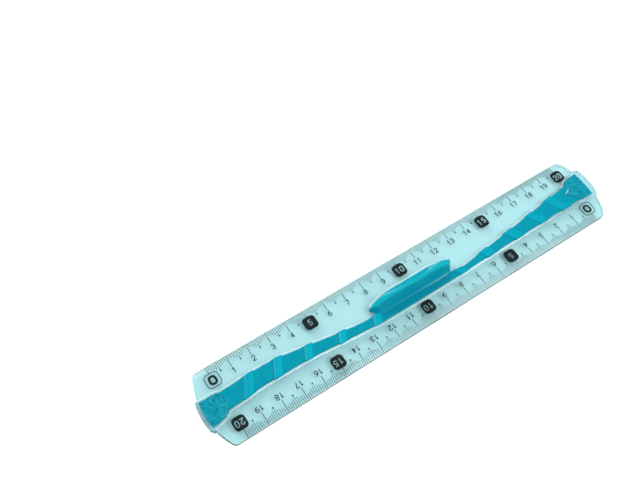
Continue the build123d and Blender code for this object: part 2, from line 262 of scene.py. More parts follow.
@dataclass(frozen=True)
class ClearPlastic:
    """The blade's tinted clear plastic, with faint waves in its faces."""

    # The colour that sight takes on in passing through the blade once
    tint: Colour = (0.63, 0.865, 0.885, 1)
    shade: Colour = (0.7, 0.77, 0.775, 1)  # the colour that lamplight keeps at each of its faces
    rim_tint: Colour = (0.56, 0.44, 0.42, 1)  # the darker tint of its moulded rim
    rim_roughness: float = 0.35  # how much duller the rim is
    coat: float = 2.5  # how strongly its polished banks mirror the light
    coat_roughness: float = 0.12  # the polish of those banks
    index: float = 1.49  # how strongly it bends light
    roughness: float = 0.04  # the polish of its faces
    wave_scale: float = 90  # how many waves to the metre
    wave_depth: float = 0.00002  # the waves' height in metres

    def build(self) -> bpy.types.Material:
        """Makes the material.

        Returns:
            The finished material.
        """
        shader = Shader("clear_tinted_plastic")
        surface = shader.add(
            "BsdfPrincipled",
            IOR=self.index, Transmission_Weight=1.0, Coat_IOR=self.coat, Coat_Roughness=self.coat_roughness,
        )
        shader.join(shader.mark(Mark.POLISHED), "Fac", surface, "Coat Weight")
        # the rim mark makes the outermost rim duller and darker
        rim = shader.mark(Mark.DULL)
        tint = shader.add("Mix", {"data_type": "RGBA"}, A=self.tint, B=self.rim_tint)
        shader.join(rim, "Fac", tint, "Factor")
        shader.join(tint, "Result", surface, "Base Color")
        polish = shader.add("MapRange", To_Min=self.roughness, To_Max=self.roughness + self.rim_roughness)
        shader.join(rim, "Fac", polish, "Value")
        shader.join(polish, "Result", surface, "Roughness")
        shader.bump(surface, self.wave_scale, 1.0, self.wave_depth)
        film = shader.add("BsdfTransparent", Color=self.shade)
        path = shader.add("LightPath")
        seen = shader.add("MixShader")
        shader.join(path, "Is Shadow Ray", seen, "Fac")
        shader.join(surface, "BSDF", seen, 1)
        shader.join(film, "BSDF", seen, 2)
        return shader.show(seen)


@dataclass(frozen=True)
class ScaleInk:
    """The scale's dark print, slightly uneven in coverage."""

    colour: Colour = linear(8, 22, 26)  # its colour where it covers well
    thin: Colour = linear(22, 44, 50)  # its colour where it is thin
    cloud_scale: float = 900  # how many uneven places to the metre
    roughness: float = 0.35  # its smoothest roughness
    spread: float = 0.15  # how much duller its thin places are

    def build(self, mottle: bpy.types.NodeTree) -> bpy.types.Material:
        """Makes the material.

        Args:
            mottle: The shared group of uneven colour.

        Returns:
            The finished material.
        """
        shader = Shader("scale_ink")
        surface = shader.add("BsdfPrincipled")
        coverage = shader.add(
            "Group", {"node_tree": mottle},
            Colour=self.colour, Shade=self.thin,
            Scale=self.cloud_scale, Rough=self.roughness, Spread=self.spread,
        )
        shader.join(coverage, "Colour", surface, "Base Color")
        shader.join(coverage, "Roughness", surface, "Roughness")
        return shader.show(surface)


@dataclass(frozen=True)
class Softbox:
    """One soft lamp that points at the ruler."""

    name: str  # the lamp's name
    direction: Point  # where it stands, seen from the ruler
    width: float  # its width in metres
    height: float  # its height in metres
    power: float  # its power in watts
    distance: float = 0.9  # how far off it stands

    def build(self) -> None:
        """Makes the lamp."""
        data = bpy.data.lights.new(self.name, "AREA")
        data.shape = "RECTANGLE"
        data.size = self.width
        data.size_y = self.height
        data.energy = self.power
        lamp = bpy.data.objects.new(self.name, data)
        place = Vector(self.direction).normalized() * self.distance
        lamp.matrix_world = Matrix.Translation(place) @ place.to_track_quat("Z", "Y").to_matrix().to_4x4()
        bpy.context.scene.collection.objects.link(lamp)


@dataclass(frozen=True)
class Studio:
    """White floor, soft light and the photograph's camera."""

    camera_place: Point = (-0.146876, -0.103335, 0.338719)  # where the camera stands
    camera_aim: Point = (-0.022607, 0.044072, 0.0028)  # the point in the middle of its view
    camera_roll: float = 7.198  # how far it is turned about its view, in degrees
    lens: float = 46.07  # its lens in millimetres
    sensor: float = 36  # the width of its sensor in millimetres
    nearest: float = 0.01  # how near it can see
    floor_size: float = 6.0  # the floor's width
    floor_white: float = 0.97  # how much of the light the floor gives back
    floor_gap: float = 0.00005  # how far it lies under the ruler
    floor_glow: float = 0.5  # how much lighter the camera sees it
    world_strength: float = 0.33  # the even light of the room
    mirror_strength: float = 0.12  # how bright glossy surfaces see the room
    # The soft lamps
    lamps: tuple[Softbox, ...] = (
        Softbox("far_softbox", (-0.05, 0.82, 0.574), 1.3, 0.42, 3.8),
        Softbox("near_softbox", (0.36, -0.37, 0.86), 0.54, 0.36, 1.9),
    )

    def build(self) -> None:
        """Makes the camera, the world, the lamps and the floor."""
        self.add_camera()
        self.add_world()
        for lamp in self.lamps:
            lamp.build()
        self.add_floor()

    def add_camera(self) -> None:
        """Places the camera where the photograph was taken from."""
        data = bpy.data.cameras.new("photo_camera")
        data.lens = self.lens
        data.sensor_width = self.sensor
        data.clip_start = self.nearest
        camera = bpy.data.objects.new("photo_camera", data)
        place = Vector(self.camera_place)
        view = (Vector(self.camera_aim) - place).to_track_quat("-Z", "Y").to_matrix()
        roll = Matrix.Rotation(math.radians(self.camera_roll), 3, "Z")
        camera.matrix_world = Matrix.Translation(place) @ (view @ roll).to_4x4()
        bpy.context.scene.collection.objects.link(camera)
        bpy.context.scene.camera = camera

    def add_world(self) -> None:
        """Makes an even world light that the camera and clear plastic see as white."""
        world = bpy.data.worlds.new("white_room")
        world.use_nodes = True
        nodes = Nodes(world.node_tree)
        nodes.tree.nodes.clear()
        path = nodes.add("LightPath")
        shown = nodes.add("Background", Color=WHITE, Strength=self.world_strength)
        for ray, strength in (
            ("Is Glossy Ray", self.mirror_strength), ("Is Transmission Ray", 1.0), ("Is Camera Ray", 1.0),
        ):
            other = nodes.add("Background", Color=WHITE, Strength=strength)
            mix = nodes.add("MixShader")
            nodes.join(path, ray, mix, "Fac")
            nodes.join(shown, 0, mix, 1)
            nodes.join(other, 0, mix, 2)
            shown = mix
        nodes.join(shown, 0, nodes.add("OutputWorld"), "Surface")
        bpy.context.scene.world = world

    def add_floor(self) -> None:
        """Adds the white floor under the ruler, which the camera sees a little whiter than it is lit."""
        mesh = bpy.data.meshes.new("floor")
        form = bmesh.new()
        bmesh.ops.create_grid(form, x_segments=1, y_segments=1, size=self.floor_size / 2)
        bmesh.ops.translate(form, verts=form.verts, vec=(0, 0, -self.floor_gap))
        form.to_mesh(mesh)
        form.free()
        floor = bpy.data.objects.new("floor", mesh)
        bpy.context.scene.collection.objects.link(floor)
        shader = Shader("white_floor")
        white = self.floor_white
        surface = shader.add("BsdfDiffuse", Color=(white, white, white, 1))
        glow = shader.add("Emission", Strength=self.floor_glow)
        path = shader.add("LightPath")
        seen = shader.add("MixShader")
        shader.join(path, "Is Camera Ray", seen, "Fac")
        shader.join(glow, "Emission", seen, 2)
        both = shader.add("AddShader")
        shader.join(surface, "BSDF", both, 0)
        shader.join(seen, "Shader", both, 1)
        mesh.materials.append(shader.show(both))


class Corners:
    """A straight-sided line through chosen points, level past its two ends."""

    def __init__(self, *points: Pair) -> None:
        """Keeps the points: places along, rising, each with its value."""
        self.points = points

    def at(self, place: float) -> float:
        """The line's value at a place.

        Args:
            place: The place along the line.

        Returns:
            The value there.
        """
        if place <= self.points[0][0]:
            return self.points[0][1]
        for index, (stop, _) in enumerate(self.points[1:]):
            if place <= stop:
                return self.between(index, place)
        return self.points[-1][1]

    def between(self, index: int, place: float) -> float:
        """The value at a place between one point and the next."""
        (start, low), (stop, high) = self.points[index : index + 2]
        return low + (high - low) * (place - start) / (stop - start)


class Track(Corners):
    """A smooth line through chosen points, level past its two ends."""

    def __init__(self, *points: Pair) -> None:
        """Keeps the points and works out the line's slope at each.

        Args:
            *points: Places along, rising, each with its value.
        """
        super().__init__(*points)
        self.slopes = []
        for index in range(len(points)):
            start, low = points[max(index - 1, 0)]
            stop, high = points[min(index + 1, len(points) - 1)]
            self.slopes.append((high - low) / (stop - start))

    def between(self, index: int, place: float) -> float:
        """The value at a place between one point and the next.

        Args:
            index: The first point's number.
            place: The place along the line.

        Returns:
            The value there, on the curve that has both points' slopes.
        """
        (start, low), (stop, high) = self.points[index : index + 2]
        run = stop - start
        share = (place - start) / run
        back = 1 - share
        return (
            low * (1 + 2 * share) * back**2
            + high * (3 - 2 * share) * share**2
            + run * share * back * (self.slopes[index] * back - self.slopes[index + 1] * share)
        )


def smooth_step(share: float) -> float:
    """A share from 0 to 1 with soft ends, held to that range."""
    share = min(max(share, 0.0), 1.0)
    return share * share * (3 - 2 * share)


def round_off(depth: float, radius: float) -> float:
    """How far a rounded rim has dropped.

    Args:
        depth: The distance in from the rim's outline.
        radius: The rim's radius.

    Returns:
        The drop below the flat top.
    """
    if depth >= radius:
        return 0.0
    return radius - math.sqrt(max(radius**2 - (radius - max(depth, 0.0)) ** 2, 0.0))


def arc_reach(reach: float, corner: float, half: float, offset: float) -> float:
    """How far a shallow arc end reaches at a distance from its middle.

    Args:
        reach: The reach at the arc's middle.
        corner: The reach at its two ends.
        half: Half the arc's chord.
        offset: The distance across from its middle.

    Returns:
        The reach at the offset.
    """
    sag = reach - corner
    radius = (half**2 + sag**2) / (2 * sag)
    return reach - radius + math.sqrt(max(radius**2 - offset**2, 0.0))


def bend(start: Pair, corner: Pair, stop: Pair, steps: int) -> list[Pair]:
    """Points round a corner, from start to stop.

    Args:
        start: The first point.
        corner: The corner that the points round off.
        stop: The last point.
        steps: How many steps they take.

    Returns:
        The points, both ends with them.
    """
    points = []
    for step in range(steps + 1):
        share = step / steps
        back = 1 - share
        weights = (back * back, 2 * back * share, share * share)
        points.append(tuple(sum(w * c for w, c in zip(weights, trio)) for trio in zip(start, corner, stop)))
    return points


def spread(start: float, stop: float, step: float, fine: Sequence[float] = ()) -> list[float]:
    """Places from start to stop about one step apart, with extra ones among them.

    Args:
        start: The first place.
        stop: The last place.
        step: The usual distance between two.
        fine: Extra places.

    Returns:
        All the places in rising order, none nearly twice.
    """
    count = max(round((stop - start) / step), 1)
    places = sorted([start + (stop - start) * k / count for k in range(count + 1)] + list(fine))
    kept = [places[0]]
    for place in places[1:]:
        if start <= place <= stop and place - kept[-1] > MIN_STEP:
            kept.append(place)
    return kept


@dataclass(frozen=True)
class GridLine:
    """A line between two sides, at a depth in from both and then at a share of the clear length."""

    depth: float  # how far in from a side it lies
    share: float  # its place in the clear length, 0 beside the first side and 1 beside the second

    def at(self, length: float) -> float:
        """How far from the first side it lies where the sides are a length apart."""
        depth = min(self.depth, length / 2)
        return depth + (length - 2 * depth) * self.share


def grid_lines(depths: Sequence[float], shares: Sequence[float]) -> list[GridLine]:
    """Lays lines from one side to the other, close together at both.

    Args:
        depths: How far in the lines near a side lie, rising.
        shares: The places of the others in the clear length between them.

    Returns:
        The lines in order.
    """
    first = [GridLine(depth, 0.0) for depth in depths]
    last = [GridLine(depth, 1.0) for depth in reversed(depths)]
    return first + [GridLine(depths[-1], share) for share in shares] + last


class Moulding:
    """One moulded piece: a grid of points over a level base, with a mark for each finish at each point."""

    name: str  # the piece's name
    node: str  # the CAD node that it stands for
    slot: Slot  # a slot name for its finish, which nothing here reads
    crease: float  # the angle in degrees past which an edge stays sharp
    base: float  # the height of its underside
    size: tuple[int, int]  # how many points its grid has along the blade and across it

    def place(self, column: int, row: int) -> Point:
        """Where a point of its upper side is, in millimetres."""
        raise NotImplementedError

    def raised(self, spot: Vector) -> float:
        """How much painted light a point takes."""
        return 0.0

    def polished(self, spot: Vector) -> float:
        """How strongly a point mirrors the light."""
        return 0.0

    def dull(self, spot: Vector) -> float:
        """How dull a point is."""
        return 0.0

    def form(self) -> bmesh.types.BMesh:
        """Makes the closed form from a grid and its extruded top.

        Returns:
            The form in millimetres, with its marks.
        """
        columns, rows = self.size
        form = bmesh.new()
        bmesh.ops.create_grid(form, x_segments=columns - 1, y_segments=rows - 1, size=1)
        extruded = bmesh.ops.extrude_face_region(form, geom=form.faces[:], use_keep_orig=True)
        upper = {item for item in extruded["geom"] if isinstance(item, bmesh.types.BMVert)}
        for vert in form.verts:
            column = round((vert.co.x + 1) / 2 * (columns - 1))
            row = round((vert.co.y + 1) / 2 * (rows - 1))
            x, y, z = self.place(column, row)
            vert.co = (x, y, z if vert in upper else self.base)
        bmesh.ops.remove_doubles(form, verts=form.verts, dist=MERGE_DISTANCE)
        bmesh.ops.recalc_face_normals(form, faces=form.faces)
        rules = {Mark.RAISED: self.raised, Mark.POLISHED: self.polished, Mark.DULL: self.dull}
        for mark, rule in rules.items():
            layer = form.verts.layers.float.new(mark.value)
            for vert in form.verts:
                vert[layer] = rule(vert.co)
        return form

    def build(self, material: bpy.types.Material) -> None:
        """Makes the scene's piece for the CAD node.

        Args:
            material: The piece's material.
        """
        form = self.form()
        bmesh.ops.scale(form, vec=(MM, MM, MM), verts=form.verts)
        for face in form.faces:
            face.smooth = True
        for edge in form.edges:
            edge.smooth = edge.calc_face_angle(0) < math.radians(self.crease)
        mesh = bpy.data.meshes.new(self.name)
        form.to_mesh(mesh)
        form.free()
        mesh.materials.append(material)
        piece = bpy.data.objects.new(self.name, mesh)
        bpy.context.scene.collection.objects.link(piece)
        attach(piece, "root")
        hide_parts(self.node)
        log.info("made %s with %d faces", self.name, len(mesh.polygons))


@dataclass(frozen=True)
class PadLines:
    """One end pad's sides, in millimetres from the middle, as they are on the right."""

    high: Corners  # its upper side
    low: Corners  # its lower side
    high_start: float  # where its upper side takes over from the band's
    low_start: float  # where its lower side does
    point: Corners  # where its inner border starts, by height across
    reach: float  # how far it reaches on its own centreline


@dataclass(frozen=True)
class Outlines:
    """The outlines that the soft moulding and the blade's bed share, in millimetres from the middle."""

    # The band's upper side
    band_upper: Track = Track(
        (-106, 4.95), (-98, 4.77), (-90, 5.04), (-75, 4.95), (-60, 2.84), (-45, 0.41), (-30, -1.62),
        (-20.9, -1.75), (-0.9, -1.75), (16.7, -2.3), (20, -3.0), (24, -3.25), (28, -3.38), (36, -2.48),
        (55, -0.45), (70, 1.26), (83, 2.93), (97, 4.59), (106, 5.4),
    )
    # Its lower side
    band_lower: Track = Track(
        (-106, -4.6), (-100, -3.95), (-93, -3.6), (-84, -2.79), (-70, -2.93), (-58, -3.2), (-46, -4.28),
        (-30, -5.63), (-20, -6.3), (20, -6.3), (35, -5.85), (70, -5.31), (98, -5.13), (106, -5.4),
    )
    # The near side of the grip's foot
    foot_near: Corners = Corners(
        (-24.4, 0.9), (-21.4, -1.9), (-20.4, -2.2), (18.5, -2.2), (19.4, -1.9), (22.6, 1.7)
    )
    # Its far side
    foot_far: Track = Track(
        (-24.4, 0.9), (-23.6, 2.0), (-22.0, 2.9), (-20.0, 3.6), (-15.0, 4.75), (-10.0, 5.05), (0.0, 5.02),
        (10.0, 5.12), (13.0, 5.0), (15.0, 4.7), (18.0, 4.0), (20.0, 3.4), (22.0, 2.45), (22.6, 1.7),
    )
    grip_left: float = -24.4  # the left tip of the grip
    grip_right: float = 22.6  # its right tip
    # The right end pad's sides
    right_pad: PadLines = PadLines(
        high=Corners((98.4, 5.0), (100.9, 6.9), (109.4, 7.7)),
        low=Corners((100.6, -5.15), (101.8, -5.75), (109.4, -5.95)),
        high_start=98.4,
        low_start=101.2,
        point=Corners((-5.3, 101.3), (0.2, 95.6), (0.5, 95.4), (0.8, 95.7), (2.3, 99.0), (5.0, 99.8)),
        reach=108.5,
    )
    # The left end pad's sides, turned half round
    left_pad: PadLines = PadLines(
        high=Corners((99.8, 3.95), (101.6, 4.55), (103.25, 5.85), (109.4, 7.05)),
        low=Corners((101.0, -4.85), (102.0, -5.25), (109.4, -5.35)),
        high_start=99.8,
        low_start=101.2,
        point=Corners((-4.9, 101.6), (0.3, 98.6), (0.5, 98.5), (0.7, 98.6), (4.2, 101.0)),
        reach=110.7,
    )
    # The steps along the blade over which the bed's rim is smoothed
    smoothing: tuple[float, ...] = (-0.9, -0.6, -0.3, 0.0, 0.3, 0.6, 0.9)

    def band(self, x: float, side: int) -> float:
        """The band's upper or lower side."""
        return (self.band_upper if side > 0 else self.band_lower).at(x)

    def soft(self, x: float, side: int) -> float:
        """The upper or lower side of the whole soft moulding.

        Args:
            x: The place along the blade.
            side: 1 for the upper side, -1 for the lower one.

        Returns:
            The place across.
        """
        sides = [self.band(x, side)]
        turn = 1 if x > 0 else -1
        pad = self.right_pad if turn > 0 else self.left_pad
        line, start = (pad.high, pad.high_start) if side == turn else (pad.low, pad.low_start)
        if abs(x) >= start:
            sides.append(turn * line.at(abs(x)))
        if side > 0 and self.grip_left < x < self.grip_right:
            sides.append(self.foot_far.at(x))
        return max(sides) if side > 0 else min(sides)

    def bed(self, x: float, side: int) -> float:
        """The same side smoothed along the blade, for the bed's rim."""
        return sum(self.soft(x + step, side) for step in self.smoothing) / len(self.smoothing)


@dataclass(frozen=True)
class BladeLine:
    """One line along the blade."""

    across: Callable[[float], float]  # gives its place across by its place along
    on_lug: bool = False  # whether it runs out onto the lugs
    rise: float = 0.0  # its share of the bed's rise


@dataclass
class ClearBlade(Moulding):
    """The clear moulding: bevelled long edges, arc ends, a low bed with sloped banks, and two lugs."""

    name = "blade_moulding"
    node = "clear_blade"
    slot = Slot.CLEAR
    crease = 20
    base = 0.0

    half_width: float = 18.2  # half the blade's width
    top: float = 2.81  # the height of its printed face
    edge: float = 2.0  # the height of its long edges
    bevel_start: float = 15.0  # where the bevel starts across
    # How far in from a long edge its closest lines lie
    edge_depths: tuple[float, ...] = (0.0, 0.05, 0.16, 0.3, 0.55, 0.9, 1.4, 2.2, 3.2)
    # The places of the printed face's lines between the bevel and the bed
    face_shares: tuple[float, ...] = (0.3, 0.6, 0.85)
    end_reach: float = 110.2  # how far the blade reaches on its centreline
    left_extra: float = 0.7  # how much further its left end reaches
    corner_place: float = 105.4  # where its arc ends meet the long edges
    corner_radius: float = 1.4  # the radius of its corners
    lug_reach: float = 112.2  # how far a lug reaches on its own middle
    lug_corner: float = 111.6  # how far it reaches at its corners
    lug_half: float = 7.05  # half its width
    lug_radius: float = 0.6  # the radius of its corners
    right_lug: float = 1.75  # how far across the right lug's middle is
    left_lug: float = 0.8  # how far across the left lug's middle is
    bed_rise: float = 0.36  # the bed's height over the printed face
    # The places of the lines under the soft moulding, from its upper side to its lower one
    bed_shares: tuple[float, ...] = (0.25, 0.5, 0.75)
    margin: float = 0.35  # the level clear strip between the soft moulding and a bank of the usual width
    lug_margin: float = 0.7  # the same strip beside the end pads
    margin_start: float = 100.0  # where along the blade it starts to widen
    margin_run: float = 3.0  # how far it takes to
    bank: float = 0.85  # the usual width of a bank
    # The far bank's width by the place along, where more of it takes from the level strip
    far_bank: Track = Track(
        (-112, 0.85), (20, 0.85), (23.5, 0.95), (25.5, 1.2), (36.5, 1.2), (38.5, 0.9), (42, 1.0), (54, 1.0),
        (56, 0.85), (112, 0.85),
    )
    # The shares of a bank's width, each with the share of its rise
    bank_steps: tuple[Pair, ...] = ((0.0, 0.0), (0.12, 0.08), (0.85, 0.92), (1.0, 1.0))
    foot_gap: float = 0.02  # how far in front of a bank's foot the printed face ends
    # How much duller the near bank is beside the pads, from where, and how far it takes to be
    calm_ends: Point = (0.6, 97.0, 3.0)
    calm_middle: Point = (0.55, 40.0, 15.0)  # the same beside the grip, counted towards the middle
    bank_gain: float = 8.0  # how quickly a bank's polish sets in
    rim_radius: float = 0.3  # the radius of its rim
    rim_drop: float = 0.6  # how much of the rounded rim's drop it takes
    # How far in from the ends the closest columns lie
    rim_depths: tuple[float, ...] = (0.04, 0.12, 0.22, 0.35, 0.6)
    step: float = 1.0  # the usual distance between two columns
    start_of_ends: float = 96.0  # where along the blade the columns start to follow its ends
    # Stretches with close columns: start, stop and step
    fine_stretches: tuple[Point, ...] = (
        (-25.5, -20, 0.25), (17.5, 24, 0.25), (99, 104, 0.3), (-104, -99, 0.3)
    )
    lines: Outlines = Outlines()  # the shared outlines

    def __post_init__(self) -> None:
        """Lays out the lines along the blade and the columns across it."""
        middle = [
            BladeLine(lambda x, k=k: self.lines.bed(x, 1) * (1 - k) + self.lines.bed(x, -1) * k, True, 1.0)
            for k in self.bed_shares
        ]
        self.rows = self.half(1) + middle + self.half(-1)[::-1]
        self.ends = [{side: self.end_of(line, side) for side in (-1, 1)} for line in self.rows]
        rims = [side * (self.lug_reach - depth) for side in (-1, 1) for depth in self.rim_depths]
        fine = [place for stretch in self.fine_stretches for place in spread(*stretch)]
        self.columns = spread(-self.lug_reach, self.lug_reach, self.step, fine + rims)
        self.size = len(self.columns), len(self.rows)

    def half(self, side: int) -> list[BladeLine]:
        """The lines of one half of the blade.

        Args:
            side: 1 for the far half, -1 for the near one.

        Returns:
            The lines, from the long edge to the soft moulding.
        """

        def soft(x: float) -> float:
            """The soft moulding's side."""
            return self.lines.bed(x, side)

        def bank(x: float) -> float:
            """The bank's width."""
            return self.far_bank.at(x) if side > 0 else self.bank

        def foot(x: float) -> float:
            """The bank's foot."""
            beside_pad = smooth_step((abs(x) - self.margin_start) / self.margin_run)
            margin = self.margin + (self.lug_margin - self.margin) * beside_pad
            return soft(x) + side * (margin + self.bank)

        bevel = side * self.bevel_start
        found = [BladeLine(lambda x, y=side * (self.half_width - depth): y) for depth in self.edge_depths]
        found += [BladeLine(lambda x, k=share: bevel + (foot(x) - bevel) * k) for share in self.face_shares]
        found.append(BladeLine(lambda x: foot(x) + side * self.foot_gap))
        found += [
            BladeLine(lambda x, k=share: foot(x) - side * bank(x) * k, True, rise)
            for share, rise in self.bank_steps
        ]
        return found + [BladeLine(soft, True, 1.0)]

    def body_end(self, y: float, side: int) -> float:
        """How far the blade's right or left end reaches at a distance across."""
        reach = arc_reach(self.end_reach, self.corner_place, self.half_width, y)
        reach += self.left_extra if side < 0 else 0.0
        return reach - round_off(self.half_width - abs(y), self.corner_radius)

    def lug_end(self, y: float, side: int) -> float:
        """How far a lug reaches at a distance across, with the left one turned half round."""
        offset = y - (self.right_lug if side > 0 else self.left_lug)
        reach = arc_reach(self.lug_reach, self.lug_corner, self.lug_half, offset)
        return reach - round_off(self.lug_half - abs(offset), self.lug_radius)

    def end_of(self, line: BladeLine, side: int) -> float:
        """Where a line along the blade meets the blade's end.

        Args:
            line: The line.
            side: 1 for the right end, -1 for the left.

        Returns:
            The place along, as a distance from the middle.
        """
        reach = self.end_reach
        for _ in range(SETTLE_STEPS):
            y = line.across(side * reach) * side
            reach = self.lug_end(y, side) if line.on_lug else self.body_end(y, side)
        return reach

    def place(self, column: int, row: int) -> Point:
        """Where a point of the upper side is.

        Args:
            column: The point's column along the blade.
            row: Its line across.

        Returns:
            The place in millimetres.
        """
        line, x = self.rows[row], self.columns[column]
        reach = self.ends[row][1 if x > 0 else -1]
        past = abs(x) - self.start_of_ends
        if past > 0:
            run = (reach - self.start_of_ends) / (self.lug_reach - self.start_of_ends)
            x = math.copysign(self.start_of_ends + past * run, x)
        y = line.across(x)
        slope = (self.top - self.edge) / (self.half_width - self.bevel_start)
        z = self.top - max(abs(y) - self.bevel_start, 0) * slope + line.rise * self.bed_rise
        inset = min(reach - abs(x), self.half_width - abs(y))
        return x, y, z - round_off(inset, self.rim_radius) * self.rim_drop

    def dull(self, spot: Vector) -> float:
        """Marks the outermost rim of the long edges."""
        return 1.0 if self.half_width - abs(spot.y) < MIN_STEP else 0.0

    def polished(self, spot: Vector) -> float:
        """Marks the bed's banks, and the near one less beside the pads and the grip.

        Args:
            spot: The point's place.

        Returns:
            How strongly it mirrors the light.
        """
        rise = (spot.z - self.top) / self.bed_rise
        if not 0 < rise < 1:
            return 0.0
        polish = smooth_step(self.bank_gain * rise * (1 - rise))
        if spot.y >= 0:
            return polish
        much, start, run = self.calm_ends
        less, stop, fall = self.calm_middle
        calm = much * smooth_step((abs(spot.x) - start) / run)
        return polish * (1 - calm - less * smooth_step((stop - abs(spot.x)) / fall))


@dataclass(frozen=True)
class Rib:
    """One raised rib across the band."""

    start: float  # where its left side crosses the centreline
    width: float  # its width along the blade
    grooves: int = 0  # how many fine grooves run along it
    overhang: float = 0.55  # how far its corner stands out past the band's side

    @property
    def outer(self) -> float:
        """Where its sharp outer side crosses the centreline."""
        return self.start if self.start < 0 else self.start + self.width

    def depth(self, s: float) -> float:
        """How far a slanted line lies in from the sharp side."""
        return s - self.outer if self.start < 0 else self.outer - s


@dataclass
class SoftBand(Moulding):
    """The wavy band and its slanted ribs, each sharp on its outer side and soft on its inner one.

    A slanted line runs along a rib, and is known by the place where it crosses the centreline.
    """

    name = "band_moulding"
    node = "soft_band"
    slot = Slot.SOFT
    crease = 50
    base = 3.05

    # The ribs from left to right
    ribs: tuple[Rib, ...] = (
        Rib(-90.9, 4.3, 3), Rib(-76.0, 4.0, 1), Rib(-60.1, 3.7, 1), Rib(-42.2, 3.5), Rib(-23.6, 4.2, 0, 0.2),
        Rib(19.4, 4.6, 0, 0.3), Rib(36.5, 5.5), Rib(54.2, 5.7), Rib(70.7, 4.8), Rib(85.3, 5.0),
    )
    top: float = 3.7  # the height of the band's flat top
    rib_rise: float = 0.45  # a rib's height over that
    slant: float = 0.53  # a rib's run along the blade for each step across
    turn_start: float = -20.0  # where along the blade the slant starts to change from one way to the other
    turn_run: float = 38.0  # how far it takes to
    half_length: float = 102.0  # how far the band reaches under the pads
    straight_ends: float = 94.0  # where the slant starts to die out towards them
    # The share of a rib's rise by depth in from its sharp side
    sharp_side: Corners = Corners((-0.12, 0.0), (0.1, 0.55), (0.4, 0.93), (0.6, 1.0))
    soft_lead: float = 0.3  # how far before its full width a rib starts to fall on its soft side
    soft_run: float = 1.0  # how far the fall takes
    # Where a rib starts to stand out past the band's side and how far it takes to, in widths
    corner_rise: Pair = (-0.75, 0.9)
    corner_fall: Pair = (0.98, 0.16)  # the same for its sharp corner
    groove_pitch: float = 0.95  # the distance between two grooves
    groove_half: float = 0.34  # half a groove's width
    groove_depth: float = 0.22  # its depth
    groove_painted_shade: float = 0.5  # how much of a rib's painted light its grooves' floors lose, as painted shade
    rim: float = 0.4  # the radius of the band's rim
    # How far in from a side the closest lines lie
    rim_depths: tuple[float, ...] = (0.0, 0.03, 0.09, 0.17, 0.27, 0.42)
    # The places of the other lines in the clear width
    shares: tuple[float, ...] = (0.125, 0.3125, 0.5, 0.6875, 0.875)
    step: float = 0.7  # the usual distance between two slanted lines
    sharp_lines: Point = (-0.2, 0.76, 0.08)  # the closer lines by depth from a sharp side: start, stop, step
    soft_lines: Point = (-0.6, 1.2, 0.2)  # the same from a soft side
    groove_step: float = 0.07  # the distance between two lines in a groove
    right_painted_light: float = 0.55  # how much painted light the ribs right of the middle take, against those on the left
    polish: Pair = (-0.05, 0.6)  # from where to where, in from its sharp side, a left rib is polished
    lines: Outlines = Outlines()  # the shared outlines

    def __post_init__(self) -> None:
        """Lays out the slanted lines, close together at the ribs' sides and grooves, and the rows."""
        fine: list[float] = []
        for rib in self.ribs:
            start, stop, step = self.soft_lines
            depths = spread(*self.sharp_lines) + spread(rib.width + start, rib.width + stop, step)
            for count in range(1, rib.grooves + 1):
                middle = count * self.groove_pitch
                depths += spread(middle - self.groove_half, middle + self.groove_half, self.groove_step)
            inwards = 1 if rib.start < 0 else -1
            fine += [rib.outer + inwards * depth for depth in depths]
        self.columns = spread(-self.half_length, self.half_length, self.step, fine)
        self.sides = [(self.crossing(s, -1), self.crossing(s, 1)) for s in self.columns]
        self.rows = grid_lines(self.rim_depths, self.shares)
        self.size = len(self.columns), len(self.rows)

    def slant_at(self, s: float) -> float:
        """The ribs' slant at a place: one way on the left, the other on the right, and none at the ends."""
        ends = 1 - smooth_step((abs(s) - self.straight_ends) / (self.half_length - self.straight_ends))
        return self.slant * (1 - 2 * smooth_step((s - self.turn_start) / self.turn_run)) * ends

    def line_through(self, spot: Vector) -> float:
        """The slanted line through a place."""
        s = spot.x
        for _ in range(SETTLE_STEPS):
            s = spot.x - self.slant_at(s) * spot.y
        return s

    def lift(self, s: float) -> float:
        """The share of a rib's rise at a slanted line.

        Args:
            s: The slanted line.

        Returns:
            The highest share that a rib has there.
        """
        most = 0.0
        for rib in self.ribs:
            depth = rib.depth(s)
            fall = 1 - smooth_step((depth - rib.width + self.soft_lead) / self.soft_run)
            most = max(most, self.sharp_side.at(depth) * fall)
        return most

    def groove(self, s: float) -> float:
        """How deep a rib's fine grooves are at a slanted line.

        Args:
            s: The slanted line.

        Returns:
            The depth, or 0 beside them.
        """
        for rib in self.ribs:
            for count in range(1, rib.grooves + 1):
                off = abs(rib.depth(s) - count * self.groove_pitch)
                if off < self.groove_half:
                    return self.groove_depth * (1 - smooth_step(off / self.groove_half))
        return 0.0

    def stand_out(self, s: float, side: int) -> float:
        """How far the ribs push the band's outline out at a slanted line.

        Args:
            s: The slanted line.
            side: 1 for the upper outline, -1 for the lower one.

        Returns:
            The distance past the band's side.
        """
        most = 0.0
        for rib in self.ribs:
            along = (s - rib.start) / rib.width
            sharp = along if side > 0 else 1 - along
            rise, fall = (
                smooth_step((sharp - start) / run) for start, run in (self.corner_rise, self.corner_fall)
            )
            most = max(most, rise * (1 - fall) * rib.overhang)
        return most

    def crossing(self, s: float, side: int) -> float:
        """Where across a slanted line meets the band's upper or lower outline.

        Args:
            s: The slanted line.
            side: 1 for the upper outline, -1 for the lower one.

        Returns:
            The place across, with what a rib stands out there.
        """
        slant = self.slant_at(s)
        y = self.lines.band(s, side)
        for _ in range(SETTLE_STEPS):
            y = self.lines.band(s + slant * y, side)
        return y + self.stand_out(s, side) * side

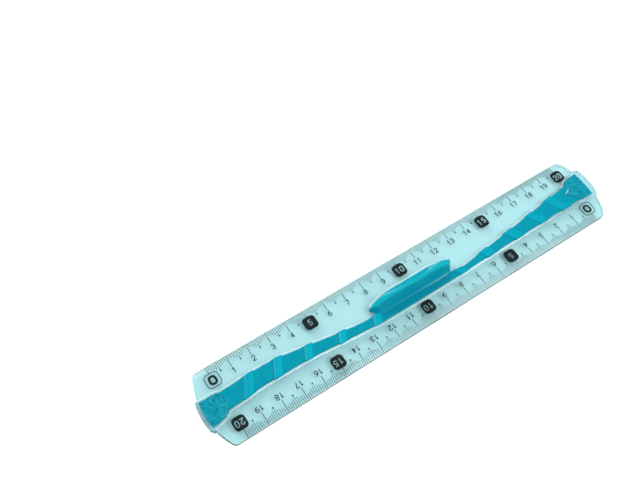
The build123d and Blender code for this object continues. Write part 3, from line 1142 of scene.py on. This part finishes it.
    def place(self, column: int, row: int) -> Point:
        """Where a point of the upper side is.

        Args:
            column: The number of the point's slanted line.
            row: Its number across.

        Returns:
            The place in millimetres.
        """
        s, line = self.columns[column], self.rows[row]
        low, high = self.sides[column]
        y = low + line.at(high - low)
        z = self.top + self.lift(s) * self.rib_rise - self.groove(s) - round_off(line.depth, self.rim)
        return s + self.slant_at(s) * y, y, z

    def raised(self, spot: Vector) -> float:
        """Paints the ribs lighter as painted light, less in their grooves as painted shade, and less on the
        right.

        Args:
            spot: The point's place.

        Returns:
            How much painted light it takes, by how far it belongs to a rib.
        """
        s = self.line_through(spot)
        side = 1.0 if s < 0 else self.right_painted_light
        return side * self.lift(s) * (1 - self.groove_painted_shade * self.groove(s) / self.groove_depth)

    def polished(self, spot: Vector) -> float:
        """Marks the sharp sides of the ribs on the left."""
        s, (start, stop) = self.line_through(spot), self.polish
        return float(any(start < rib.depth(s) < stop for rib in self.ribs if rib.start < 0))


@dataclass
class EndPad(Moulding):
    """A rough end pad with a pointed inner border, whose upper arm may have a polished bevel."""

    slot = Slot.ROUGH
    crease = 60
    base = 3.05

    side: int  # 1 for the right pad, -1 for the left one
    name: str  # the piece's name
    node: str  # the CAD node that it stands for
    lines: PadLines  # its sides
    bevel: float = 0.75  # the width of the bevel on its border's upper arm, or 0 for none
    bevel_slope: float = 0.42  # the bevel's rise for each step in
    bevel_foot: float = 3.72  # the height that it rises from, a little over the band
    arm_lean: float = 0.447  # how far a step along the ruler leads in across the arm
    arm_length: float = 4.8  # how far the bevelled arm runs from the tip of the point
    arm_fade: float = 0.2  # the share of that over which it dies out
    tip_blend: float = 0.3  # how far across the tip the bevel sets in
    bevel_blend: float = 0.15  # how far in the bevel gives way to the top
    top: float = 3.95  # the height of its level top
    rim: float = 0.35  # the radius of its rim
    half: float = 6.86  # half its width at the end
    middle: float = 0.93  # how far across its end's middle is
    end_sag: float = 0.5  # how much less far its end reaches at the corners
    relief: float = 0.18  # the height of the moulded roughness
    relief_scale: float = 1.6  # how fine its strokes are
    stroke_turn: Pair = (0.8, 0.6)  # the direction across the strokes
    stroke_stretch: float = 0.45  # how quickly they change along their length, against across it
    stroke_seed: float = 7.3  # which strokes a pad gets, times its side
    fine_share: float = 0.55  # the height of the finer strokes, as a share of the coarse ones'
    fine_scale: float = 2.7  # how much finer they are
    fine_shift: Point = (3.1, 1.7, 0.4)  # how far they are shifted against the coarse ones
    relief_run: float = 0.5  # how far in from the rim the roughness reaches its height
    stroke_painted_light: float = 0.9  # how far the painted light of the raised strokes and the darker low strokes differ
    sparkle: float = 0.15  # how strongly its raised strokes mirror the light
    # How far in from a side the closest grid lines lie
    edge_depths: tuple[float, ...] = (0.0, 0.04, 0.12, 0.22, 0.35, 0.55, 0.8)
    cells: int = 40  # how many cells the clear middle has each way
    search_start: Pair = (105.0, 0.0)  # where the search for a point's place starts

    def __post_init__(self) -> None:
        """Lays out the grid, which has the same lines both ways."""
        self.grid = grid_lines(self.edge_depths, [k / self.cells for k in range(1, self.cells)])
        self.size = len(self.grid), len(self.grid)

    def rough(self, x: float, y: float) -> float:
        """The height of the moulded roughness, from short strokes at two sizes.

        Args:
            x: The place along.
            y: The place across.

        Returns:
            The height over or under the level top.
        """
        c, s = self.stroke_turn
        place = Vector((x * c + y * s, (y * c - x * s) * self.stroke_stretch, self.side * self.stroke_seed))
        coarse = noise.noise(place * self.relief_scale)
        fine = noise.noise(place * self.relief_scale * self.fine_scale + Vector(self.fine_shift))
        return self.relief * (coarse + self.fine_share * fine)

    def arm_inset(self, x: float, y: float) -> float:
        """How far in from the pointed border a place is, across its upper arm."""
        return (x - self.lines.point.at(y)) * self.arm_lean

    def bevel_share(self, x: float, y: float) -> float:
        """How far a place belongs to the bevelled arm of the pad's pointed border, as on the right pad.

        Args:
            x: The place along.
            y: The place across.

        Returns:
            A share from 0 to 1.
        """
        if not self.bevel:
            return 0.0
        tip_y, tip_x = min(self.lines.point.points, key=lambda spot: spot[1])
        along = math.hypot(y - tip_y, x - tip_x) / self.arm_length
        share = smooth_step((y - tip_y) / self.tip_blend + 1)
        share *= 1 - smooth_step((along - (1 - self.arm_fade)) / self.arm_fade)
        return share * (1 - smooth_step((self.arm_inset(x, y) - self.bevel) / self.bevel_blend))

    def place(self, column: int, row: int) -> Point:
        """Where a point of the upper side is.

        The pad's sides and ends depend on each other, so the place is found in steps that settle.

        Args:
            column: The point's grid line along.
            row: Its grid line across.

        Returns:
            The place in millimetres.
        """
        x, y = self.search_start
        for _ in range(PAD_SETTLE_STEPS):
            low = self.lines.low.at(x)
            width = self.lines.high.at(x) - low
            across = self.grid[row].at(width)
            y = (y + low + across) / 2
            start = self.lines.point.at(y)
            stop = arc_reach(self.lines.reach, self.lines.reach - self.end_sag, self.half, y - self.middle)
            along = self.grid[column].at(stop - start)
            x = (x + start + along) / 2
        depth = min(along, stop - start - along, across, width - across)
        rough = self.rough(x, y) * smooth_step(depth / self.relief_run)
        plain = self.top - round_off(depth, self.rim) + rough
        bevel = self.bevel_foot + self.bevel_slope * min(max(self.arm_inset(x, y), 0), self.bevel)
        return x * self.side, y * self.side, plain + (bevel - plain) * self.bevel_share(x, y)

    def raised(self, spot: Vector) -> float:
        """Paints the raised strokes lighter, as painted light on the relief."""
        rough = self.rough(spot.x * self.side, spot.y * self.side)
        return smooth_step(0.5 + self.stroke_painted_light * rough / self.relief)

    def polished(self, spot: Vector) -> float:
        """Marks the bevel, and the raised strokes a little."""
        bevel = self.bevel_share(spot.x * self.side, spot.y * self.side)
        return max(bevel, self.sparkle * self.raised(spot))


@dataclass
class GripFin(Moulding):
    """The grip: a boat-shaped foot, a fin that leans on its near side, a leaf-shaped top and a scoop behind.

    Its own heights, and the h of its methods, are measured from the printed face.
    """

    name = "grip_moulding"
    node = "grip_fin"
    slot = Slot.SOFT
    crease = 45

    lines: Outlines = Outlines()  # the shared outlines
    plane: float = 2.8  # the height of the printed face
    sole: float = 0.3  # the lowest height of its sides
    sole_drop: float = 0.01  # how far its underside lies below that
    root: float = 0.9  # the height at which the near face starts
    foot: float = 1.2  # the height of the foot's far side
    near: float = -2.2  # the near side of the foot across
    height: float = 10.3  # the fin's height
    # The fin's height along the grip
    arch: Track = Track(
        (-24.4, 1.9), (-23.2, 3.1), (-20.6, 5.05), (-10.8, 8.9), (-0.9, 10.3), (9.4, 8.65), (19.3, 4.64),
        (21.7, 3.0), (22.6, 1.9),
    )
    centre: float = -0.9  # the grip's middle along the blade
    length: float = 47.0  # the grip's length
    lean: float = 1.15  # how far the near face leans in, in the middle
    end_lean: float = 20.5  # the same one grip length out
    wall: float = 1.2  # the fin's thickness at the scoop
    scoop_radius: float = 17.5  # the scoop's radius
    back_foot: float = 4.9  # where across the sloped back meets the foot
    end_taper: float = 0.3  # how far the back draws in for each step up at the grip's ends
    back_gap: float = 0.12  # how far in front of the foot's far side it stands there
    rim: float = 0.3  # the radius of its rims
    edge: float = 0.25  # the radius of the foot's far rim
    flare: float = 1.15  # how far the root flares out on the right
    flare_left: float = 0.7  # the same on the left
    flare_slope: float = 0.46  # the rise of the flare's slope for each step in
    slope_share: float = 0.72  # the share of the flare that is a plain slope
    flare_height: float = 1.1  # how far over the root the flare has run out
    flare_start: float = 0.04  # how far under the root it starts
    flare_least: float = 0.15  # the share of it that is left at the grip's tips
    flare_fade: Pair = (0.78, 0.2)  # where it starts to run down to that and how far it takes, in half grips
    flare_change: Pair = (-8.0, 22.0)  # where it starts to change from left to right and how far it takes
    near_shares: tuple[float, ...] = (0.3, 0.6, 0.85)  # the places of the near face's points
    top_shares: tuple[float, ...] = (0.33, 0.67)  # the places of the level top's points
    # The places of the back's points, from its rim down
    back_shares: tuple[float, ...] = (0.15, 0.3, 0.45, 0.6, 0.75, 0.87, 0.95, 1.0)
    floor_shares: tuple[float, ...] = (0.08, 0.2, 0.4, 0.6, 0.8)  # the places of the foot's points
    root_steps: int = 6  # how many steps round the root
    rim_steps: int = 4  # how many steps round a rim
    least_top: float = 2.2  # the least width of the top, in rims
    least_wall: float = 0.3  # the least width of the fin under it, in rims
    rim_painted_light: float = 0.2  # over what height the near rim's painted light sets in
    far_painted_light: float = 1.0  # how much painted light the rim and the thin far side take
    polish_left: Pair = (-17.0, 8.0)  # where the root's polish starts and how far it takes to
    polish_right: Pair = (20.0, 3.0)  # the same from the right
    polish_change: Pair = (2.0, 12.0)  # where it starts to grow stronger and how far it takes to
    polish_least: float = 0.26  # how strong it is on the left
    polish_more: float = 0.7  # how much stronger it is on the right
    polish_height: float = 0.5  # how far over the root it reaches
    slack: float = 0.02  # how far off a point may lie and still belong to the root
    near_slack: float = 0.06  # the same for the near face
    step: float = 0.6  # the usual distance between two columns
    # How far in from the grip's tips the closest columns lie
    tip_steps: tuple[float, ...] = (0.03, 0.1, 0.2, 0.35, 0.55, 0.8, 1.1, 1.5, 2.0, 2.5)

    def __post_init__(self) -> None:
        """Works out the sections along the grip."""
        left, right = self.lines.grip_left, self.lines.grip_right
        fine = [left + step for step in self.tip_steps] + [right - step for step in self.tip_steps]
        self.base = self.plane + self.sole - self.sole_drop
        self.columns = spread(left, right, self.step, fine)
        self.sections = [self.section(x) for x in self.columns]
        self.size = len(self.columns), len(self.sections[0])

    def near_at(self, x: float, h: float) -> float:
        """Where the near face is across, at a place along and a height."""
        lean = self.lean + (self.end_lean - self.lean) * ((x - self.centre) / self.length) ** 2
        return self.lines.foot_near.at(x) + lean * max(h - self.root, 0) / (self.height - self.root)

    def far_at(self, x: float, h: float) -> float:
        """Where the far side is across: the sloped back, or the scoop in it.

        Args:
            x: The place along the blade.
            h: The height.

        Returns:
            The place across.
        """
        share = (h - self.foot) / (self.height - self.foot)
        back = self.near + self.lean + self.wall
        slope = self.back_foot + (back - self.back_foot) * share
        taper = max(h - self.foot, 0) * self.end_taper
        far = min(slope, self.lines.foot_far.at(x) - self.back_gap - taper)
        off = abs(x - self.centre)
        if off < self.scoop_radius:
            start = self.near + self.wall + self.lean * share
            far = min(far, start + self.scoop_radius - math.sqrt(self.scoop_radius**2 - off**2))
        return far

    def root_points(self, x: float, width: float, top: float) -> list[Pair]:
        """The near side's section from the sole up to the end of the flare.

        Args:
            x: The place along the blade.
            width: The foot's width there.
            top: The height at which the flare ends.

        Returns:
            Places across with their heights.
        """
        foot = self.lines.foot_near.at(x)
        (fade, fade_run), (change, change_run) = self.flare_fade, self.flare_change
        middle = 1 - smooth_step((abs((x - self.centre) / (self.length / 2)) - fade) / fade_run)
        swell = self.flare_left + (self.flare - self.flare_left) * smooth_step((x - change) / change_run)
        flare = swell * (self.flare_least + (1 - self.flare_least) * middle) * min(width / 3, 1)
        run = self.slope_share * flare
        start = self.root - self.flare_start
        slope = (foot - flare + run, start + min(run * self.flare_slope, (top - self.root) / 2))
        corner = (foot, slope[1] + (flare - run) * self.flare_slope)
        curve = bend(slope, corner, (self.near_at(x, top), top), self.root_steps)
        return [(foot - flare, self.sole), (foot - flare, start)] + curve

    def section(self, x: float) -> list[Pair]:
        """The grip's outline across the blade at one place.

        Args:
            x: The place along the blade.

        Returns:
            Places across with their heights, from the near foot over the rim to the far foot.
        """
        far_foot = self.lines.foot_far.at(x)
        width = max(far_foot - self.lines.foot_near.at(x), 0.0)
        tall = self.arch.at(x)
        rim = min(self.rim, width / 5)
        start = self.root + min(self.flare_height, (tall - self.root) * 0.6)
        points = self.root_points(x, width, start)
        for share in self.near_shares:
            h = start + (tall - rim - start) * share
            points.append((self.near_at(x, h), h))
        near_rim = self.near_at(x, tall)
        drop = tall - rim
        least = near_rim + self.least_top * rim
        far_rim = max(self.far_at(x, tall), least)
        near_start, near_stop = (self.near_at(x, drop), drop), (near_rim + rim, tall)
        points += bend(near_start, (near_rim, tall), near_stop, self.rim_steps)
        level = far_rim - near_rim - 2 * rim
        points += [(near_rim + rim + level * share, tall) for share in self.top_shares]
        far_stop = (max(self.far_at(x, drop), least), drop)
        points += bend((far_rim - rim, tall), (far_rim, tall), far_stop, self.rim_steps)
        low = min(self.foot, drop)
        for share in self.back_shares:
            h = drop + (low - drop) * share
            points.append((max(self.far_at(x, h), self.near_at(x, h) + self.least_wall * rim), h))
        floor = points[-1][0]
        edge = min(self.edge, width / 6)
        points += [(floor + (far_foot - edge - floor) * share, low) for share in self.floor_shares]
        points += bend((far_foot - edge, low), (far_foot, low), (far_foot, low - edge), self.rim_steps)
        return points + [(far_foot, self.sole)]

    def place(self, column: int, row: int) -> Point:
        """Where a point of the upper side is, in millimetres."""
        y, h = self.sections[column][row]
        return self.columns[column], y, self.plane + h

    def raised(self, spot: Vector) -> float:
        """Paints the rim and the thin far side lighter: painted light for light through the thin fin, and
        over the shade in the scoop.

        Args:
            spot: The point's place.

        Returns:
            How much painted light it takes.
        """
        h = spot.z - self.plane
        if spot.y < self.near_at(spot.x, h) + self.near_slack or h < self.root:
            return smooth_step((h - self.arch.at(spot.x) + self.rim) / self.rim_painted_light)
        return self.far_painted_light

    def polished(self, spot: Vector) -> float:
        """Marks the root's slope, more towards its right end.

        Args:
            spot: The point's place.

        Returns:
            How strongly it mirrors the light.
        """
        h = spot.z - self.plane
        past_root = spot.y > self.lines.foot_near.at(spot.x) + self.slack
        if past_root or not self.root - self.slack < h < self.root + self.polish_height:
            return 0.0
        (left, left_run), (right, right_run) = self.polish_left, self.polish_right
        change, change_run = self.polish_change
        ends = smooth_step((spot.x - left) / left_run) * smooth_step((right - spot.x) / right_run)
        return ends * (self.polish_least + self.polish_more * smooth_step((spot.x - change) / change_run))


@dataclass(frozen=True)
class Finishes:
    """The ruler's materials, each built once."""

    clear: bpy.types.Material
    soft: bpy.types.Material
    grip: bpy.types.Material
    rough: bpy.types.Material
    ink: bpy.types.Material

    @classmethod
    def build(cls) -> "Finishes":
        """Builds every finish.

        Returns:
            The finishes.
        """
        mottle = mottle_group()
        # the band's teal; its third colour is the painted light of the ribs
        soft = SoftPlastic("soft_teal", linear(0, 188, 214), linear(0, 180, 209), linear(0, 210, 236))
        # a smoother copy of the band's teal, painted lighter as a glow for light through the thin fin; its
        # third colour is the painted light of the rim and far side
        grip = SoftPlastic(
            "smooth_teal_with_painted_glow", linear(0, 202, 230), linear(0, 194, 223), linear(14, 212, 232),
            cloud_scale=180, roughness=0.3, gloss=0.16, coat=1.9,
        )
        # its third colour is the painted light of the raised strokes
        rough = SoftPlastic(
            "rough_teal", linear(0, 160, 192), linear(0, 150, 184), linear(0, 206, 228),
            cloud_scale=700, grain_scale=1500, grain_depth=0.00008, roughness=0.32, gloss=0.18, coat=2.4,
        )
        return cls(
            clear=ClearPlastic().build(),
            soft=soft.build(mottle),
            grip=grip.build(mottle),
            rough=rough.build(mottle),
            ink=ScaleInk().build(mottle),
        )


def dress(piece: bpy.types.Object, material: bpy.types.Material) -> None:
    """Gives a CAD node its material.

    Args:
        piece: The node's object.
        material: The material for all its slots.
    """
    if not piece.material_slots:
        piece.data.materials.append(material)
    for place in piece.material_slots:
        place.material = material
    log.info("dressed %s with %s", piece.name, material.name)


def main() -> None:
    """Builds the whole picture."""
    logging.basicConfig(level=logging.INFO, format="%(name)s: %(message)s")
    bpy.context.scene.view_settings.view_transform = "Standard"
    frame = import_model()
    Studio().build()
    finishes = Finishes.build()
    ClearBlade().build(finishes.clear)
    SoftBand().build(finishes.soft)
    GripFin().build(finishes.grip)
    lines = Outlines()
    EndPad(1, "right_pad_moulding", "end_pad_right", lines.right_pad).build(finishes.rough)
    EndPad(-1, "left_pad_moulding", "end_pad_left", lines.left_pad, bevel=0).build(finishes.rough)
    for node in PRINT_NODES:
        dress(frame["nodes"][node], finishes.ink)


if __name__ == "__main__":
    main()
